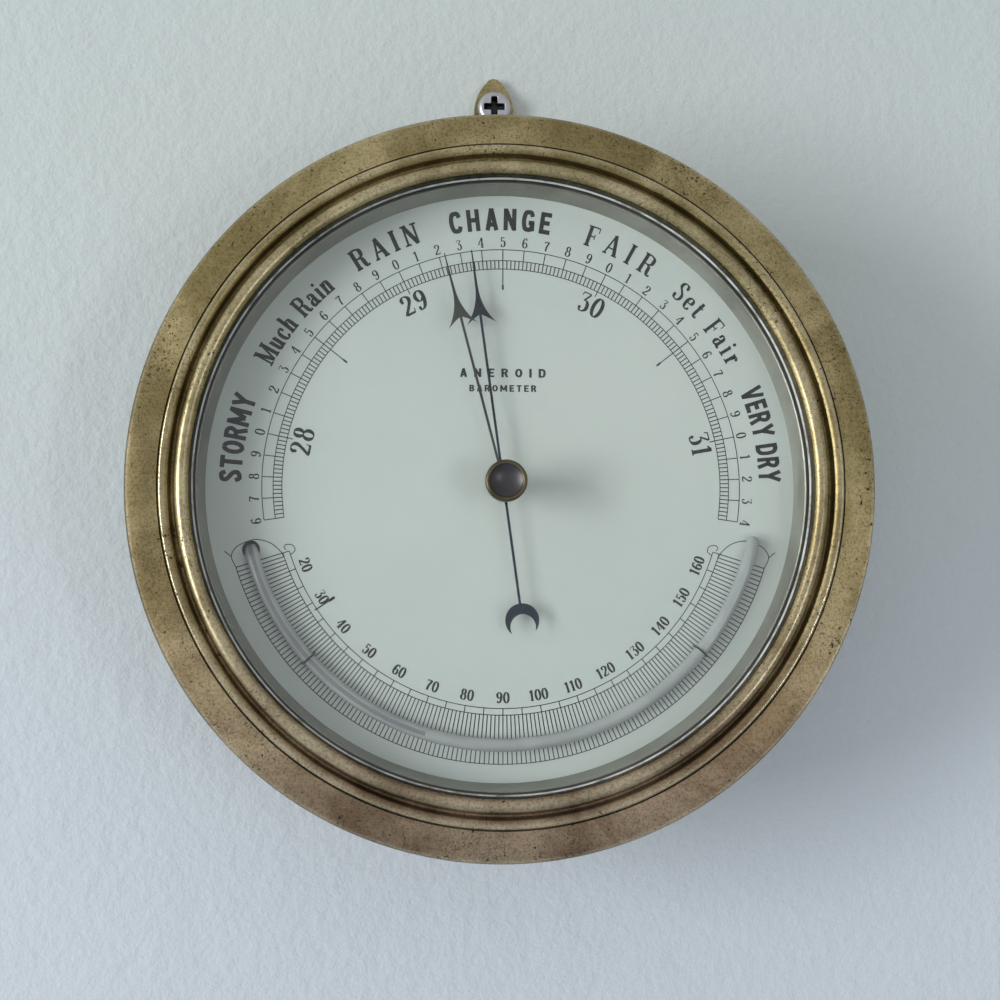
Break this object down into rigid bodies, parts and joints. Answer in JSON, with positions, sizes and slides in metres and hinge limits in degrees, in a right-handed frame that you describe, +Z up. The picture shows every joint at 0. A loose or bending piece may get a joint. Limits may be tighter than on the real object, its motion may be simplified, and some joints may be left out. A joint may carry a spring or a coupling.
{
  "type": "aneroid barometer",
  "caption": "Round brass wall aneroid barometer with glazed white dial, curved mercury thermometer, set hand, hanging eye and working capsule movement.",
  "frame": {"origin": "centre of the flat back face, on the wall", "axes": "+Y into the wall, so the dial faces -Y; +Z up through the hanging eye"},
  "size_m": [0.192, 0.0575, 0.219],
  "materials": {
    "case_brass": "aged lacquered brass with dark specks",
    "plain_brass": "clean turned brass",
    "silvered_ring": "silvered and tarnished satin metal",
    "glass": "clear flat glass",
    "tube_glass": "clear drawn glass",
    "mercury": "liquid mercury",
    "dial_white": "off-white enamelled card dial, satin",
    "putty": "whiting fillet",
    "blued_steel": "heat-blued polished steel",
    "bronzed_hand": "bronzed brass",
    "steel": "bright steel",
    "spring_steel": "tempered spring steel",
    "german_silver": "plated corrugated sheet"
  },
  "bodies": {
    "case": {"hanging_lug": "case_brass", "lug_rivets": "plain_brass", "back_plate": "case_brass", "case_drum": "case_brass", "bezel": "case_brass", "bezel_screws": "plain_brass", "glass": "glass", "glazing_fillet": "putty", "rehaut": "silvered_ring", "dial_plate": "dial_white", "dial_pillars": "plain_brass", "dial_feet": "plain_brass", "dial_foot_screws": "steel", "thermometer_tube": "tube_glass", "mercury_thread": "mercury", "thermometer_clips": "plain_brass", "glass_bush": "case_brass", "bush_nut": "plain_brass", "hairspring": "spring_steel", "hairspring_stud": "plain_brass", "shaft_brackets": "plain_brass", "bracket_screws": "steel", "main_spring": "spring_steel", "spring_screws": "steel", "capsule_front": "german_silver", "capsule_back": "german_silver", "capsule_foot": "plain_brass", "bridge": "plain_brass", "bridge_screws": "steel", "arbor_strap": "plain_brass", "strap_pillars": "plain_brass", "strap_screws": "steel", "arbor_cock": "plain_brass", "cock_pillars": "plain_brass", "cock_screws": "steel", "base_plate": "plain_brass", "plate_screws": "steel"},
    "set_pointer": {"set_knob": "case_brass", "set_spindle": "plain_brass", "set_hand": "bronzed_hand"},
    "pointer": {"pressure_hand": "blued_steel", "hand_collet": "plain_brass", "pointer_arbor": "steel", "arbor_pulley": "plain_brass", "hairspring_collet": "plain_brass"},
    "chain_run": {"chain": "steel"},
    "rocker": {"rocking_shaft": "steel", "link_arm": "steel", "crank_arm": "steel"},
    "link": {"link_rod": "steel"},
    "lever": {"main_lever": "plain_brass", "lever_screws": "steel"},
    "capsule_post": {"capsule_stud": "plain_brass", "knife_edge": "steel"},
    "adjuster": {"adjusting_screw": "steel"}
  },
  "joints": [
    {"name": "pointer_turn", "type": "hinge", "parent": "case", "child": "pointer", "pos_m": [0, 0, 0], "axis": [0, 1, 0], "range_deg": [-90.83, 106.39], "stiffness_Nm_per_rad": 0.0004, "deforming": ["hairspring"]},
    {"name": "set_turn", "type": "hinge", "parent": "case", "child": "set_pointer", "pos_m": [0, 0, 0], "axis": [0, 1, 0], "continuous": true},
    {"name": "chain_pull", "type": "slide", "parent": "case", "child": "chain_run", "axis": [0, 0, -1], "range_m": [-0.00162, 0.00189], "deforming": ["chain"]},
    {"name": "shaft_rock", "type": "hinge", "parent": "case", "child": "rocker", "pos_m": [0, -0.016, 0.04], "axis": [1, 0, 0], "range_deg": [-7.72, 9.04]},
    {"name": "link_rise", "type": "slide", "parent": "case", "child": "link", "axis": [0, 1, 0], "range_m": [-0.00067, 0.00079]},
    {"name": "lever_tilt", "type": "hinge", "parent": "case", "child": "lever", "pos_m": [0, -0.0235, -0.03], "axis": [-1, 0, 0], "range_deg": [-0.59, 0.7], "deforming": ["main_spring"]},
    {"name": "capsule_squeeze", "type": "slide", "parent": "case", "child": "capsule_post", "axis": [0, 1, 0], "range_m": [-0.00031094, 0.00036425], "deforming": ["capsule_front"]},
    {"name": "adjuster_turn", "type": "hinge", "parent": "case", "child": "adjuster", "pos_m": [0, -0.01, -0.046], "axis": [0, 1, 0], "range_deg": [-360, 360]}
  ],
  "couplings": [
    {"joint": "chain_pull", "follows": "pointer_turn", "m_per_rad": 0.001},
    {"joint": "shaft_rock", "follows": "pointer_turn", "ratio": 0.083333},
    {"joint": "link_rise", "follows": "pointer_turn", "m_per_rad": 0.00041667},
    {"joint": "lever_tilt", "follows": "pointer_turn", "ratio": 0.0064103},
    {"joint": "capsule_squeeze", "follows": "pointer_turn", "m_per_rad": 0.00019231}
  ]
}
